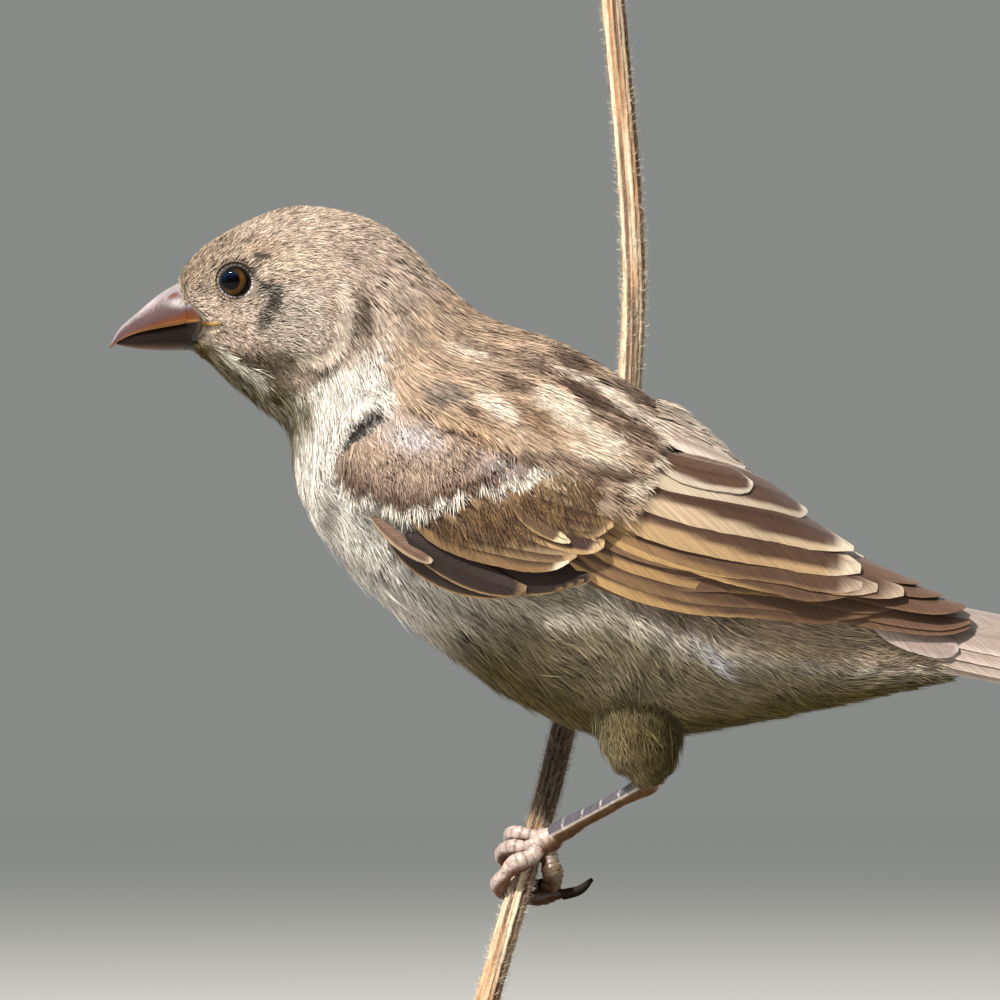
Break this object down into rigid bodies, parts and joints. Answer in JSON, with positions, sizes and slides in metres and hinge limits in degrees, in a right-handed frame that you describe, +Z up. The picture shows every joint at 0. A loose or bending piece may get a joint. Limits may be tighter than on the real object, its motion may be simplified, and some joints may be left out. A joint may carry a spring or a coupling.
{
  "type": "house sparrow model",
  "caption": "Life-size still model of a house sparrow gripping an upright dry stem, on a round display stand.",
  "frame": {"origin": "centre of the underside of the stand's base", "axes": "+Z up; the bird faces -X; its left side is at -Y"},
  "size_m": [0.1313, 0.084, 0.1411],
  "materials": {
    "plumage": "soft matt feathers, buff grey with darker streaks",
    "wing_feathers": "smooth dark brown vanes with buff and cream edges",
    "tail_feathers": "smooth pinkish brown vanes",
    "bill_horn": "satin brown horn, grey violet along the culmen",
    "eye": "wet, very dark brown iris and black pupil",
    "leg_skin": "pinkish grey scaled skin",
    "claw_horn": "dark satin horn",
    "dry_stem": "dry ridged straw brown fibre",
    "dark_wood": "satin dark walnut",
    "brass": "satin brass"
  },
  "bodies": {
    "root": {"head": "plumage", "neck": "plumage", "trunk": "plumage", "tail": "tail_feathers", "wing_left_coverts": "wing_feathers", "wing_left_flight": "wing_feathers", "wing_right_coverts": "wing_feathers", "wing_right_flight": "wing_feathers", "bill_upper": "bill_horn", "bill_lower": "bill_horn", "eye_left": "eye", "eye_right": "eye", "thigh_left": "plumage", "thigh_right": "plumage", "tarsus_left": "leg_skin", "tarsus_right": "leg_skin", "perch_stem": "dry_stem", "stand_base": "dark_wood", "stand_rod": "brass", "stand_ferrule": "brass", "toe_left_inner": "leg_skin", "claw_left_inner": "claw_horn", "toe_left_middle": "leg_skin", "claw_left_middle": "claw_horn", "toe_left_outer": "leg_skin", "claw_left_outer": "claw_horn", "toe_left_hallux": "leg_skin", "claw_left_hallux": "claw_horn", "toe_right_inner": "leg_skin", "claw_right_inner": "claw_horn", "toe_right_middle": "leg_skin", "claw_right_middle": "claw_horn", "toe_right_outer": "leg_skin", "claw_right_outer": "claw_horn", "toe_right_hallux": "leg_skin", "claw_right_hallux": "claw_horn"}
  },
  "joints": []
}
